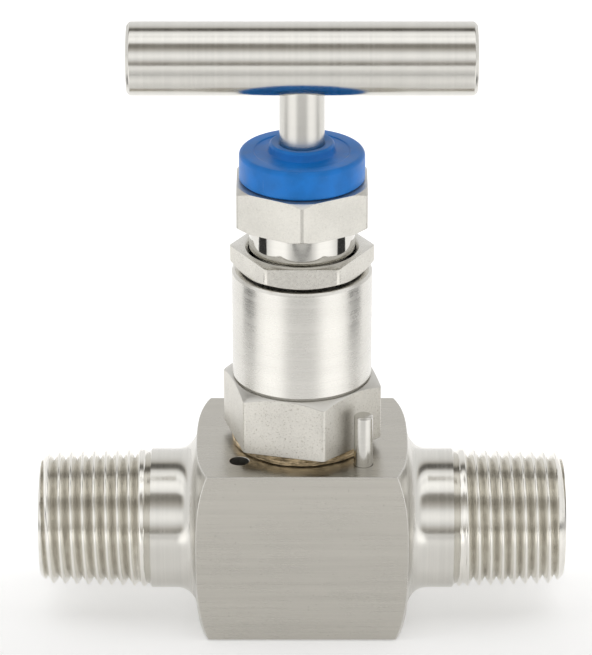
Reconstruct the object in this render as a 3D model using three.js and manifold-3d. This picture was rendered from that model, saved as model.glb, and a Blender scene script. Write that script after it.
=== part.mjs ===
// Needle valve: a bar-stock body with two male taper-threaded ends, a screwed bonnet, an adjustable
// packing gland and a T-bar. Millimetres. +X runs along the pipe axis and +Z up along the stem.
// The origin is the middle of the body's bottom face. The valve is shown closed.
import * as THREE from 'three';
import { mergeVertices } from 'three/addons/utils/BufferGeometryUtils.js';
import Module from 'manifold-3d';

const wasm = await Module();
wasm.setup();

// Facets round a large surface, and round a small or inner one.
const FINE = 40;
const COARSE = 24;

// Clearance between two pieces that touch, turn or slide on the real valve.
const CLEARANCE = 0.3;

// Body: a square bar with turned ends. Each end face is a shallow dome that runs through a fillet
// into a round neck.
const BODY_SIDE = 28.3;
const BODY_HALF_WIDTH = 16.45;
const BODY_EDGE_BREAK = 0.4;
const DOME_RADIUS = 14.5;
const DOME_CENTRE_RADIUS = 12.8;
const FILLET_RADIUS = 3.2;
const NECK_RADIUS = 11;
const NECK_END = 24.2;
const PORT_HEIGHT = BODY_SIDE / 2;

// Pipe ends: taper pipe thread, 1/2 inch, 14 to the inch, 1 in 16 on diameter, right-handed.
const THREAD_PITCH = 25.4 / 14;
const THREAD_DEPTH = 0.8 * THREAD_PITCH;
const THREAD_FLAT = 0.04 * THREAD_PITCH;
const THREAD_END_RADIUS = 10.36;
const THREAD_SLOPE = 1 / 32;
const THREAD_START = 23.8;
const PIPE_END = 41;
const PIPE_END_RADIUS = 9.1;

// Passages through the body.
const PORT_BORE_RADIUS = 5.5;
const PORT_BORE_END = 17;
const INLET_RADIUS = 2.5;
const OUTLET_RADIUS = 1.7;
const OUTLET_LOW = [16.5, 14.6];
const OUTLET_HIGH = [4, 19.6];
const SEAT_RADIUS = 2.25;
const SEAT_HEIGHT = 17.6;
const SEAT_CHAMFER = 0.4;
const CHAMBER_RADIUS = 4.8;
const CHAMBER_FLOOR = 18;
const BONNET_BORE_RADIUS = 10;
const BONNET_BORE_FLOOR = 22;

// The pin that stops the bonnet from unscrewing, and the spare hole for it.
const PIN_RADIUS = 1.45;
const PIN_PLACE = [9.41, -9.48];
const PIN_TOP = 36.6;
const PIN_HOLE_DEPTH = 6.6;
const SPARE_HOLE_RADIUS = 1.45;
const SPARE_HOLE_PLACE = [-9.65, -8.5];
const SPARE_HOLE_SINK = 0.1;

// Sealing ring between the body and the bonnet.
const GASKET_OUTER = 10.9;
const GASKET_INNER = 10;
const GASKET_HEIGHT = 1.5;
const GASKET_REST = 0.05;

// Bonnet: threaded nose, hex and cylinder, with the spindle thread, back seat, packing chamber and
// gland thread bored through it.
const NOSE_RADIUS = 9.7;
const NOSE_END = 22.4;
const BONNET_HEX_LOW = 29.9;
const BONNET_HEX_HIGH = 39.45;
const BONNET_HEX_ACROSS = 22;
const BONNET_HEX_CORNER = 12.6;
const BONNET_HEX_TURN = THREE.MathUtils.degToRad(-15);
const BARREL_RADIUS = 10.73;
const BARREL_TOP = 57.2;
const BARREL_CHAMFER = 0.4;
const SPINDLE_BORE_RADIUS = 5.3;
const BACK_SEAT_LOW = 40;
const BACK_SEAT_HIGH = 41.5;
const PACKING_CHAMBER_RADIUS = 6;
const PACKING_CHAMBER_FLOOR = 43;
const GLAND_BORE_RADIUS = 8.3;
const GLAND_BORE_FLOOR = 50;

// Spindle, needle tip and thrust ball.
const STEM_RADIUS = 3.425;
const STEM_TOP = 93.9;
const SPINDLE_THREAD_RADIUS = 5;
const SPINDLE_LOW = 24;
const SPINDLE_SHOULDER = 35.2;
const SOCKET_RADIUS = 3.8;
const SOCKET_LOW = 25;
const SOCKET_HIGH = 29.8;
const SWAGE_RADIUS = 2.9;
const NEEDLE_HALF_ANGLE = THREE.MathUtils.degToRad(25);
const NEEDLE_POINT_RADIUS = 0.4;
const NEEDLE_RADIUS = 3;
const NEEDLE_WAIST_RADIUS = 2.55;
const NEEDLE_HEAD_RADIUS = 3.5;
const NEEDLE_HEAD_LOW = 25.3;
const NEEDLE_HEAD_HIGH = 27.2;
const BALL_RADIUS = 1.2;

// Packing set: a washer, two V adapters with three chevrons between them, and a bush on top.
const PACKING_INNER = 3.72;
const PACKING_OUTER = 5.75;
const PACKING_RISE = 0.7;
const PACKING_GAP = 0.2;
const WASHER_THICKNESS = 0.7;
const ADAPTER_THICKNESS = 0.6;
const CHEVRON_THICKNESS = 0.6;
const CHEVRON_COUNT = 3;
const TOP_ADAPTER_THICKNESS = 1.6;
const BUSH_THICKNESS = 2.8;

// Gland adjuster and its lock nut.
const GLAND_THREAD_RADIUS = 8;
const GLAND_NECK_RADIUS = 8.1;
const GLAND_LOW = 52.3;
const GLAND_BORE = 3.75;
const GLAND_HEX_LOW = 65.4;
const GLAND_HEX_HIGH = 71.85;
const GLAND_HEX_ACROSS = 19.8;
const GLAND_HEX_CORNER = 11.3;
const GLAND_HEX_TURN = THREE.MathUtils.degToRad(30);
const SPIGOT_RADIUS = 6;
const SPIGOT_TOP = 74.6;
const LOCK_NUT_LOW = 57.5;
const LOCK_NUT_HIGH = 60.85;
const LOCK_NUT_ACROSS = 19.3;
const LOCK_NUT_CORNER = 11;

// Dust cap, with a wiper ring in a groove in its crown.
const CAP_RADIUS = 9.55;
const CAP_LOW = 71.95;
const CAP_HIGH = 76.4;
const CAP_ROUNDING = 0.8;
const CAP_COLLAR_RADIUS = 4.98;
const CAP_COLLAR_TOP = 77.8;
const CAP_BORE_RADIUS = 3.72;
const CAP_SOCKET_RADIUS = 6.3;
const CAP_SOCKET_TOP = 74.9;
const WIPER_GROOVE_RADIUS = 5;
const WIPER_GROOVE_TOP = 76.1;
const WIPER_RADIUS = 4.35;
const WIPER_SECTION = 0.5;
const WIPER_HEIGHT = 75.5;

// T-bar and the grub screw that holds it.
const BAR_RADIUS = 5.575;
const BAR_LENGTH = 52.4;
const BAR_HEIGHT = 91.07;
const BAR_CHAMFER = 0.5;
const GRUB_RADIUS = 1.85;
const GRUB_OUTER_END = 5.2;
const GRUB_KEY_RADIUS = 1;
const GRUB_KEY_DEPTH = 0.8;

const CHAMFER_SLOPE = Math.tan(THREE.MathUtils.degToRad(30));

// Finishes, as colour, roughness and metalness.
const BRUSHED_STEEL = { color: 0xb2afa3, roughness: 0.42, metalness: 1 };
const TURNED_STEEL = { color: 0xc9c8c4, roughness: 0.22, metalness: 1 };
const SATIN_STEEL = { color: 0xbcbab5, roughness: 0.36, metalness: 1 };
const CAST_STEEL = { color: 0xaeaba3, roughness: 0.5, metalness: 1 };
const COPPER = { color: 0x8a6a3c, roughness: 0.5, metalness: 1 };
const BLUE_PLASTIC = { color: 0x2a70c8, roughness: 0.38, metalness: 0 };
const WHITE_PTFE = { color: 0xeeeeea, roughness: 0.45, metalness: 0 };
const BLACK_RUBBER = { color: 0x1c1c1c, roughness: 0.8, metalness: 0 };

// Turns an outline of [radius, height] points round +Z. The outline runs anticlockwise, and either
// starts and ends on the axis or is closed here into a ring.
function turned(outline, facets = FINE) {
  const points = outline.map(([radius, height]) => new THREE.Vector2(radius, height));
  if (outline[0][0] > 0) points.push(points[0].clone());
  return new THREE.LatheGeometry(points, facets).rotateX(Math.PI / 2);
}

// A round bar between two points.
function bar(from, to, radius, facets = COARSE) {
  const start = new THREE.Vector3(...from);
  const reach = new THREE.Vector3(...to).sub(start);
  const length = reach.length();
  const turn = new THREE.Quaternion().setFromUnitVectors(new THREE.Vector3(0, 1, 0), reach.normalize());
  const geometry = new THREE.CylinderGeometry(radius, radius, length, facets);
  geometry.translate(0, length / 2, 0);
  geometry.applyQuaternion(turn);
  return geometry.translate(...from);
}

// Points on an arc, both ends included, with angles in radians from the +radius direction.
function arc(centre, radius, from, to, steps) {
  const points = [];
  for (let i = 0; i <= steps; i += 1) {
    const angle = from + ((to - from) * i) / steps;
    points.push([centre[0] + radius * Math.cos(angle), centre[1] + radius * Math.sin(angle)]);
  }
  return points;
}

// A closed geometry as a solid that can be joined and cut.
function solidOf(geometry) {
  const bare = geometry.clone();
  bare.deleteAttribute('normal');
  bare.deleteAttribute('uv');
  const welded = mergeVertices(bare);
  const index = welded.index.array;
  const triangles = [];
  for (let i = 0; i < index.length; i += 3) {
    const [a, b, c] = index.slice(i, i + 3);
    if (a !== b && b !== c && c !== a) triangles.push(a, b, c);
  }
  const vertProperties = Float32Array.from(welded.attributes.position.array);
  const triVerts = Uint32Array.from(triangles);
  return new wasm.Manifold(new wasm.Mesh({ numProp: 3, vertProperties, triVerts }));
}

function geometryOf(solid) {
  const mesh = solid.getMesh();
  const geometry = new THREE.BufferGeometry();
  geometry.setAttribute('position', new THREE.BufferAttribute(Float32Array.from(mesh.vertProperties), 3));
  geometry.setIndex(Array.from(mesh.triVerts));
  geometry.computeVertexNormals();
  return geometry;
}

// Six flats with turned 30 degree chamfers, either of which can be left off. A corner points along
// `turn`.
function hexBlank(low, high, across, corner, turn = 0, { below = true, above = true } = {}) {
  const height = high - low;
  const prism = new THREE.CylinderGeometry(across / Math.sqrt(3), across / Math.sqrt(3), height, 6);
  prism.rotateX(Math.PI / 2);
  prism.rotateZ(Math.PI / 2 + turn);
  prism.translate(0, 0, low + height / 2);
  const face = across / 2 - 0.1;
  const drop = (corner - face) * CHAMFER_SLOPE;
  const foot = below ? [[face, low], [corner, low + drop]] : [[corner, low]];
  const head = above ? [[corner, high - drop], [face, high]] : [[corner, high]];
  const blank = turned([[0, low], ...foot, ...head, [0, high]]);
  return solidOf(prism).intersect(solidOf(blank));
}

// One pipe end along +Z, from 0 at its large end. Its rows follow the helix, four to a pitch, and are
// clamped to the two end planes, where a fan closes each end.
function threadedEnd(length) {
  const rowOffsets = [0, THREAD_FLAT, THREAD_PITCH / 2, THREAD_PITCH / 2 + THREAD_FLAT];
  const crestAt = (z) => THREAD_END_RADIUS + (length - z) * THREAD_SLOPE;
  const flank = THREAD_PITCH / 2 - THREAD_FLAT;
  const cutAt = (phase) => {
    if (phase < THREAD_FLAT) return 0;
    if (phase < THREAD_PITCH / 2) return (phase - THREAD_FLAT) / flank;
    if (phase < THREAD_PITCH / 2 + THREAD_FLAT) return 1;
    return (THREAD_PITCH - phase) / flank;
  };
  const pointAt = (step, row) => {
    const advance = (step / COARSE) * THREAD_PITCH;
    const turns = Math.floor(row / 4);
    const offset = turns * THREAD_PITCH + rowOffsets[row - 4 * turns];
    const z = THREE.MathUtils.clamp(offset + advance, 0, length);
    const phase = THREE.MathUtils.euclideanModulo(z - advance + 1e-6, THREAD_PITCH);
    const radius = crestAt(z) - THREAD_DEPTH * cutAt(phase);
    const angle = (step / COARSE) * 2 * Math.PI;
    return [radius * Math.cos(angle), radius * Math.sin(angle), z];
  };
  const corners = [];
  const lastRow = 4 * Math.ceil(length / THREAD_PITCH);
  for (let step = 0; step < COARSE; step += 1) {
    for (let row = -4; row < lastRow; row += 1) {
      const [a, b] = [pointAt(step, row), pointAt(step + 1, row)];
      const [c, d] = [pointAt(step + 1, row + 1), pointAt(step, row + 1)];
      corners.push(a, b, c, a, c, d);
    }
    corners.push([0, 0, 0], pointAt(step + 1, -4), pointAt(step, -4));
    corners.push([0, 0, length], pointAt(step, lastRow), pointAt(step + 1, lastRow));
  }
  const geometry = new THREE.BufferGeometry();
  geometry.setAttribute('position', new THREE.Float32BufferAttribute(corners.flat(), 3));
  return geometry;
}

// Both pipe ends, each with its turned 45 degree lead-in.
function pipeEnds() {
  const length = PIPE_END - THREAD_START;
  const wide = NECK_RADIUS + 1;
  const lead = length - (wide - PIPE_END_RADIUS);
  const envelope = turned([[0, -1], [wide, -1], [wide, lead], [PIPE_END_RADIUS, length], [0, length]]);
  const end = solidOf(threadedEnd(length)).intersect(solidOf(envelope));
  const alongX = geometryOf(end).translate(0, 0, THREAD_START).rotateY(Math.PI / 2);
  const right = alongX.clone().translate(0, 0, PORT_HEIGHT);
  const left = alongX.clone().rotateZ(Math.PI).translate(0, 0, PORT_HEIGHT);
  return solidOf(right).add(solidOf(left));
}

// The bar stock: a square bar cut back by the turned neck, fillet and dome outline of each end.
function barStock() {
  const domeCentre = BODY_HALF_WIDTH - Math.sqrt(DOME_RADIUS ** 2 - (PORT_HEIGHT - DOME_CENTRE_RADIUS) ** 2);
  const filletCentreRadius = NECK_RADIUS + FILLET_RADIUS;
  const lean = Math.asin((filletCentreRadius - DOME_CENTRE_RADIUS) / (DOME_RADIUS + FILLET_RADIUS));
  const filletCentre = domeCentre + (DOME_RADIUS + FILLET_RADIUS) * Math.cos(lean);
  const corner = Math.hypot(PORT_HEIGHT, PORT_HEIGHT) + 0.5;
  const domeTop = Math.asin((corner - DOME_CENTRE_RADIUS) / DOME_RADIUS);
  const dome = arc([DOME_CENTRE_RADIUS, domeCentre], DOME_RADIUS, Math.PI / 2 - domeTop, Math.PI / 2 - lean, 6);
  const fillet = arc([filletCentreRadius, filletCentre], FILLET_RADIUS, -Math.PI / 2 - lean, -Math.PI, 5);
  const upper = [...dome, ...fillet.slice(1), [NECK_RADIUS, NECK_END - 0.3], [NECK_RADIUS - 0.3, NECK_END]];
  const lower = upper.map(([radius, height]) => [radius, -height]).reverse();
  const turnedEnds = turned([[0, -NECK_END], ...lower, ...upper, [0, NECK_END]]).rotateY(Math.PI / 2);
  const half = BODY_SIDE / 2;
  const inner = half - BODY_EDGE_BREAK;
  const section = new THREE.Shape([
    [-inner, -half], [inner, -half], [half, -inner], [half, inner],
    [inner, half], [-inner, half], [-half, inner], [-half, -inner],
  ].map(([x, y]) => new THREE.Vector2(x, y)));
  const square = new THREE.ExtrudeGeometry(section, { depth: 2 * NECK_END + 2, bevelEnabled: false });
  square.translate(0, 0, -NECK_END - 1).rotateY(Math.PI / 2);
  const stock = solidOf(turnedEnds).intersect(solidOf(square));
  return solidOf(geometryOf(stock).translate(0, 0, PORT_HEIGHT));
}

// Everything bored out of the body: ports, passages, seat, chamber, bonnet bore and the two pin holes.
function bodyBores() {
  const chamber = turned([
    [0, PORT_HEIGHT], [SEAT_RADIUS, PORT_HEIGHT], [SEAT_RADIUS, SEAT_HEIGHT],
    [SEAT_RADIUS + SEAT_CHAMFER, CHAMBER_FLOOR], [CHAMBER_RADIUS, CHAMBER_FLOOR],
    [CHAMBER_RADIUS, BONNET_BORE_FLOOR], [BONNET_BORE_RADIUS, BONNET_BORE_FLOOR],
    [BONNET_BORE_RADIUS, BODY_SIDE + 1], [0, BODY_SIDE + 1],
  ], COARSE);
  let bores = solidOf(chamber);
  for (const side of [-1, 1]) {
    const mouth = [side * (PIPE_END + 1), 0, PORT_HEIGHT];
    bores = bores.add(solidOf(bar([side * PORT_BORE_END, 0, PORT_HEIGHT], mouth, PORT_BORE_RADIUS)));
  }
  const inlet = bar([SEAT_RADIUS, 0, PORT_HEIGHT], [-PORT_BORE_END - 1, 0, PORT_HEIGHT], INLET_RADIUS, 16);
  const outletStart = [OUTLET_LOW[0] + 2, 0, OUTLET_LOW[1] - 0.8];
  const outlet = bar(outletStart, [OUTLET_HIGH[0], 0, OUTLET_HIGH[1]], OUTLET_RADIUS, 16);
  const holeFloor = BODY_SIDE - PIN_HOLE_DEPTH;
  const pinHole = turned([
    [0, 0], [PIN_RADIUS + CLEARANCE, 0], [PIN_RADIUS + CLEARANCE, PIN_HOLE_DEPTH + 1], [0, PIN_HOLE_DEPTH + 1],
  ], 16).translate(...PIN_PLACE, holeFloor);
  const sinkRadius = SPARE_HOLE_RADIUS + SPARE_HOLE_SINK;
  const spareHole = turned([
    [0, 0], [SPARE_HOLE_RADIUS, 0], [SPARE_HOLE_RADIUS, PIN_HOLE_DEPTH - SPARE_HOLE_SINK],
    [sinkRadius, PIN_HOLE_DEPTH], [sinkRadius, PIN_HOLE_DEPTH + 1], [0, PIN_HOLE_DEPTH + 1],
  ], 16).translate(...SPARE_HOLE_PLACE, holeFloor);
  for (const bore of [inlet, outlet, pinHole, spareHole]) bores = bores.add(solidOf(bore));
  return bores;
}

function valveBody() {
  return geometryOf(barStock().add(pipeEnds()).subtract(bodyBores()));
}

function bonnetGasket() {
  return turned([[GASKET_INNER, 0], [GASKET_OUTER, 0], [GASKET_OUTER, GASKET_HEIGHT], [GASKET_INNER, GASKET_HEIGHT]]);
}

function bonnet() {
  const hex = hexBlank(
    BONNET_HEX_LOW, BONNET_HEX_HIGH, BONNET_HEX_ACROSS, BONNET_HEX_CORNER, BONNET_HEX_TURN,
    { below: false },
  );
  const middle = (BONNET_HEX_LOW + BONNET_HEX_HIGH) / 2;
  const spigot = turned([
    [0, NOSE_END], [NOSE_RADIUS - 0.5, NOSE_END], [NOSE_RADIUS, NOSE_END + 0.5], [NOSE_RADIUS, middle],
    [BARREL_RADIUS, middle], [BARREL_RADIUS, BARREL_TOP - BARREL_CHAMFER],
    [BARREL_RADIUS - BARREL_CHAMFER, BARREL_TOP], [0, BARREL_TOP],
  ]);
  const neck = STEM_RADIUS + CLEARANCE;
  const bore = turned([
    [0, NOSE_END - 1], [SPINDLE_BORE_RADIUS, NOSE_END - 1], [SPINDLE_BORE_RADIUS, BACK_SEAT_LOW],
    [neck, BACK_SEAT_HIGH], [neck, PACKING_CHAMBER_FLOOR], [PACKING_CHAMBER_RADIUS, PACKING_CHAMBER_FLOOR],
    [PACKING_CHAMBER_RADIUS, GLAND_BORE_FLOOR], [GLAND_BORE_RADIUS, GLAND_BORE_FLOOR],
    [GLAND_BORE_RADIUS, BARREL_TOP + 1], [0, BARREL_TOP + 1],
  ], COARSE);
  return geometryOf(hex.add(solidOf(spigot)).subtract(solidOf(bore)));
}

function lockPin() {
  const bottom = BODY_SIDE - PIN_HOLE_DEPTH + CLEARANCE;
  const height = PIN_TOP - bottom;
  const tip = PIN_RADIUS - 0.25;
  const outline = [[0, 0], [tip, 0], [PIN_RADIUS, 0.25], [PIN_RADIUS, height - 0.25], [tip, height], [0, height]];
  return turned(outline, 16).translate(0, 0, bottom);
}

// The spindle: swaged socket, thread cylinder, back-seat cone and stem.
function spindle() {
  const cone = SPINDLE_SHOULDER + BACK_SEAT_HIGH - BACK_SEAT_LOW;
  return turned([
    [0, SOCKET_HIGH], [SOCKET_RADIUS, SOCKET_HIGH], [SOCKET_RADIUS, SOCKET_LOW], [SWAGE_RADIUS, SOCKET_LOW],
    [SWAGE_RADIUS, SPINDLE_LOW], [SPINDLE_THREAD_RADIUS - 0.8, SPINDLE_LOW],
    [SPINDLE_THREAD_RADIUS, SPINDLE_LOW + 0.8], [SPINDLE_THREAD_RADIUS, SPINDLE_SHOULDER],
    [STEM_RADIUS, cone], [STEM_RADIUS, STEM_TOP], [0, STEM_TOP],
  ], COARSE);
}

// The needle tip: its cone stands clear of the seat edge by the clearance, measured square to the cone.
function needleTip() {
  const slope = Math.tan(NEEDLE_HALF_ANGLE);
  const atSeat = SEAT_RADIUS - CLEARANCE / Math.cos(NEEDLE_HALF_ANGLE);
  const apex = SEAT_HEIGHT - atSeat / slope;
  const waist = SPINDLE_LOW - CLEARANCE;
  return turned([
    [0, apex + NEEDLE_POINT_RADIUS / slope], [NEEDLE_POINT_RADIUS, apex + NEEDLE_POINT_RADIUS / slope],
    [NEEDLE_RADIUS, apex + NEEDLE_RADIUS / slope], [NEEDLE_RADIUS, waist - 0.4], [NEEDLE_WAIST_RADIUS, waist],
    [NEEDLE_WAIST_RADIUS, NEEDLE_HEAD_LOW], [NEEDLE_HEAD_RADIUS, NEEDLE_HEAD_LOW],
    [NEEDLE_HEAD_RADIUS, NEEDLE_HEAD_HIGH], [0, NEEDLE_HEAD_HIGH],
  ], COARSE);
}

// A packing ring whose lower and upper faces are flat or rise to a ridge in the middle.
function packingRing(thickness, lowerRise, upperRise) {
  const middle = (PACKING_INNER + PACKING_OUTER) / 2;
  return turned([
    [PACKING_INNER, 0], [middle, lowerRise], [PACKING_OUTER, 0],
    [PACKING_OUTER, thickness], [middle, thickness + upperRise], [PACKING_INNER, thickness],
  ], COARSE);
}

function gasketRing(thickness) {
  return turned([
    [PACKING_INNER, 0], [PACKING_OUTER, 0], [PACKING_OUTER, thickness], [PACKING_INNER, thickness],
  ], COARSE);
}

function lockNut() {
  const height = LOCK_NUT_HIGH - LOCK_NUT_LOW;
  const blank = hexBlank(0, height, LOCK_NUT_ACROSS, LOCK_NUT_CORNER, 0, { above: false });
  const bore = bar([0, 0, -1], [0, 0, height + 1], GLAND_THREAD_RADIUS + CLEARANCE, FINE);
  return geometryOf(blank.subtract(solidOf(bore)));
}

function glandAdjuster() {
  const hex = hexBlank(GLAND_HEX_LOW, GLAND_HEX_HIGH, GLAND_HEX_ACROSS, GLAND_HEX_CORNER, GLAND_HEX_TURN);
  const shank = turned([
    [0, GLAND_LOW], [GLAND_THREAD_RADIUS - 0.6, GLAND_LOW], [GLAND_THREAD_RADIUS, GLAND_LOW + 0.6],
    [GLAND_THREAD_RADIUS, LOCK_NUT_HIGH], [GLAND_NECK_RADIUS, LOCK_NUT_HIGH + 0.2],
    [GLAND_NECK_RADIUS, GLAND_HEX_LOW + 1], [SPIGOT_RADIUS, GLAND_HEX_LOW + 1], [SPIGOT_RADIUS, SPIGOT_TOP],
    [0, SPIGOT_TOP],
  ]);
  const bore = bar([0, 0, GLAND_LOW - 1], [0, 0, SPIGOT_TOP + 1], GLAND_BORE);
  return geometryOf(hex.add(solidOf(shank)).subtract(solidOf(bore)));
}

function dustCap() {
  const rim = arc([CAP_RADIUS - CAP_ROUNDING, CAP_HIGH - CAP_ROUNDING], CAP_ROUNDING, 0, Math.PI / 2, 3);
  return turned([
    [CAP_SOCKET_RADIUS, CAP_LOW], [CAP_RADIUS, CAP_LOW], ...rim, [CAP_COLLAR_RADIUS, CAP_HIGH],
    [CAP_COLLAR_RADIUS, CAP_COLLAR_TOP], [CAP_BORE_RADIUS, CAP_COLLAR_TOP], [CAP_BORE_RADIUS, WIPER_GROOVE_TOP],
    [WIPER_GROOVE_RADIUS, WIPER_GROOVE_TOP], [WIPER_GROOVE_RADIUS, CAP_SOCKET_TOP],
    [CAP_SOCKET_RADIUS, CAP_SOCKET_TOP],
  ]);
}

// The bar lies along X. A blind hole from below takes the stem, and a threaded hole from the back
// takes the grub screw.
function tBar() {
  const half = BAR_LENGTH / 2;
  const tip = BAR_RADIUS - BAR_CHAMFER;
  const stock = turned([
    [0, -half], [tip, -half], [BAR_RADIUS, BAR_CHAMFER - half],
    [BAR_RADIUS, half - BAR_CHAMFER], [tip, half], [0, half],
  ]).rotateY(Math.PI / 2);
  const holeTop = STEM_TOP - BAR_HEIGHT + CLEARANCE;
  const stemHole = bar([0, 0, -BAR_RADIUS - 1], [0, 0, holeTop], STEM_RADIUS + CLEARANCE);
  const grubHole = bar([0, 0, 0], [0, BAR_RADIUS + 1, 0], GRUB_RADIUS + CLEARANCE, 16);
  return geometryOf(solidOf(stock).subtract(solidOf(stemHole)).subtract(solidOf(grubHole)));
}

function grubScrew() {
  const inner = STEM_RADIUS + CLEARANCE;
  const body = bar([0, inner, 0], [0, GRUB_OUTER_END, 0], GRUB_RADIUS, 16);
  const key = bar([0, GRUB_OUTER_END - GRUB_KEY_DEPTH, 0], [0, GRUB_OUTER_END + 1, 0], GRUB_KEY_RADIUS, 6);
  return geometryOf(solidOf(body).subtract(solidOf(key)));
}

function piece(name, geometry, look, height = 0) {
  const mesh = new THREE.Mesh(geometry, new THREE.MeshStandardMaterial(look));
  mesh.name = name;
  mesh.position.z = height;
  return mesh;
}

// The packing set, stacked from the chamber floor up, each piece one small gap above the last.
function packingSet() {
  const stack = new THREE.Group();
  let height = PACKING_CHAMBER_FLOOR + CLEARANCE;
  stack.add(piece('packing_washer', gasketRing(WASHER_THICKNESS), SATIN_STEEL, height));
  height += WASHER_THICKNESS + PACKING_GAP;
  const bottomAdapter = packingRing(ADAPTER_THICKNESS, 0, PACKING_RISE);
  stack.add(piece('packing_bottom_adapter', bottomAdapter, WHITE_PTFE, height));
  height += ADAPTER_THICKNESS + PACKING_GAP;
  for (let number = 1; number <= CHEVRON_COUNT; number += 1) {
    const chevron = packingRing(CHEVRON_THICKNESS, PACKING_RISE, PACKING_RISE);
    stack.add(piece(`packing_ring_${number}`, chevron, WHITE_PTFE, height));
    height += CHEVRON_THICKNESS + PACKING_GAP;
  }
  const topAdapter = packingRing(TOP_ADAPTER_THICKNESS, PACKING_RISE, 0);
  stack.add(piece('packing_top_adapter', topAdapter, WHITE_PTFE, height));
  height += TOP_ADAPTER_THICKNESS + PACKING_GAP;
  stack.add(piece('gland_bush', gasketRing(BUSH_THICKNESS), SATIN_STEEL, height));
  return stack;
}

function closure() {
  const group = new THREE.Group();
  const pin = piece('bonnet_lock_pin', lockPin(), SATIN_STEEL);
  pin.position.set(...PIN_PLACE, 0);
  group.add(pin);
  group.add(piece('bonnet_gasket', bonnetGasket(), COPPER, BODY_SIDE + GASKET_REST));
  group.add(piece('bonnet', bonnet(), CAST_STEEL));
  group.add(packingSet());
  return group;
}

function gland() {
  const group = new THREE.Group();
  const wiper = new THREE.TorusGeometry(WIPER_RADIUS, WIPER_SECTION, 8, COARSE);
  group.add(piece('gland_lock_nut', lockNut(), SATIN_STEEL, LOCK_NUT_LOW));
  group.add(piece('gland_adjuster', glandAdjuster(), SATIN_STEEL));
  group.add(piece('dust_cap', dustCap(), BLUE_PLASTIC));
  group.add(piece('wiper_o_ring', wiper, BLACK_RUBBER, WIPER_HEIGHT));
  return group;
}

function stemAndHandle() {
  const group = new THREE.Group();
  const ballHeight = (NEEDLE_HEAD_HIGH + SOCKET_HIGH) / 2;
  group.add(piece('spindle', spindle(), SATIN_STEEL));
  group.add(piece('needle_tip', needleTip(), TURNED_STEEL));
  group.add(piece('thrust_ball', new THREE.SphereGeometry(BALL_RADIUS, 16, 10), TURNED_STEEL, ballHeight));
  group.add(piece('t_bar_handle', tBar(), SATIN_STEEL, BAR_HEIGHT));
  group.add(piece('handle_grub_screw', grubScrew(), SATIN_STEEL, BAR_HEIGHT));
  return group;
}

const valve = new THREE.Group();
valve.add(piece('valve_body', valveBody(), BRUSHED_STEEL));
valve.add(closure());
valve.add(gland());
valve.add(stemAndHandle());

export default valve;
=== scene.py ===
"""Looks for a needle valve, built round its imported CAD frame.

The sizes below are millimetres in the row frame: +X along the pipe, +Z up the stem, and the
origin in the middle of the body's base.
"""

import math

import bmesh
import bpy
from mathutils import Matrix, Vector


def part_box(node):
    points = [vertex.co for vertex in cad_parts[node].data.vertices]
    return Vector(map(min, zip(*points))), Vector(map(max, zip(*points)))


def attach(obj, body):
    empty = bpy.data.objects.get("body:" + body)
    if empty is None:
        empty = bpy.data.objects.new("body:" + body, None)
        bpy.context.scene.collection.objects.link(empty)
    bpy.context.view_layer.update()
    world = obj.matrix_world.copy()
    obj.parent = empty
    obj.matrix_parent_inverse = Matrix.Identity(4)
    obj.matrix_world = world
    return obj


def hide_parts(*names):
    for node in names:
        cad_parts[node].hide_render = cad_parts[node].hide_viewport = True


bl_info = {
    "name": "Needle valve",
    "version": (1, 0, 0),
    "blender": (4, 5, 0),
    "location": "3D View > Sidebar > Valve",
    "description": "Builds the pieces and finishes of a bar-stock needle valve round its CAD frame",
    "category": "Object",
}

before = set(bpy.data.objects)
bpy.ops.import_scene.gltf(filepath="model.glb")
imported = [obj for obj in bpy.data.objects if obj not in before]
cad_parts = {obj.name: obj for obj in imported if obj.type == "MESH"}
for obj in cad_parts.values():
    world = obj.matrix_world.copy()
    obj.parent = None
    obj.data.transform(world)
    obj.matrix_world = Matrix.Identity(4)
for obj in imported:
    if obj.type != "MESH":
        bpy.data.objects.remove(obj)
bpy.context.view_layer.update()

MM = 0.001
MERGE = 1e-4
SHARP_ANGLE = math.radians(24)
ROUND = 192
HEX_ROUND = 288
BODY_ROUND = 128
CHAMFER_SLOPE = math.tan(math.radians(30))


def level(node):
    """Lowest and highest level of a CAD node."""
    low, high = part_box(node)
    return low.z / MM, high.z / MM


def reach(node):
    """How far a round CAD node reaches along +X."""
    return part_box(node)[1].x / MM


BODY_SIDE = level("valve_body")[1]
PORT_HEIGHT = BODY_SIDE / 2
BODY_HALF_WIDTH = 16.45
DOME_RADIUS = 14.5
DOME_CENTRE_RADIUS = 12.8
FILLET_RADIUS = 3.2
NECK_RADIUS = 11
NECK_END = 23.55
RELIEF_RADIUS = 10.35
RELIEF_END = 24.1
PIPE_END = reach("valve_body")
PIPE_END_RADIUS = 9.1
THREAD_PITCH = 25.4 / 14
THREAD_END_RADIUS = 10.36
THREAD_SLOPE = 1 / 32
THREAD_START = 26.193 - 3 * THREAD_PITCH
THREAD_TURNS = 13
PORT_BORE_RADIUS = 5.5
PORT_BORE_END = 17
PORT_DRILL_TIP = 14.5
DOWEL_PLACE = (9.41, -9.48)
DOWEL_RADIUS = 1.45
DOWEL_HOLE_DEPTH = 6.6
SPARE_HOLE_PLACE = (-9.65, -8.5)

# The pipe thread from a crest down to the root: share of the pitch, share of the depth cut.
THREAD_FLANK = (
    (0, 0), (0.03, 0.008), (0.06, 0.03), (0.09, 0.065), (0.13, 0.13), (0.18, 0.225), (0.3, 0.47),
    (0.4, 0.72), (0.45, 0.86), (0.48, 0.95), (0.5, 1),
)
THREAD_FORM = THREAD_FLANK + tuple((1 - place, cut) for place, cut in THREAD_FLANK[-2::-1])

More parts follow.
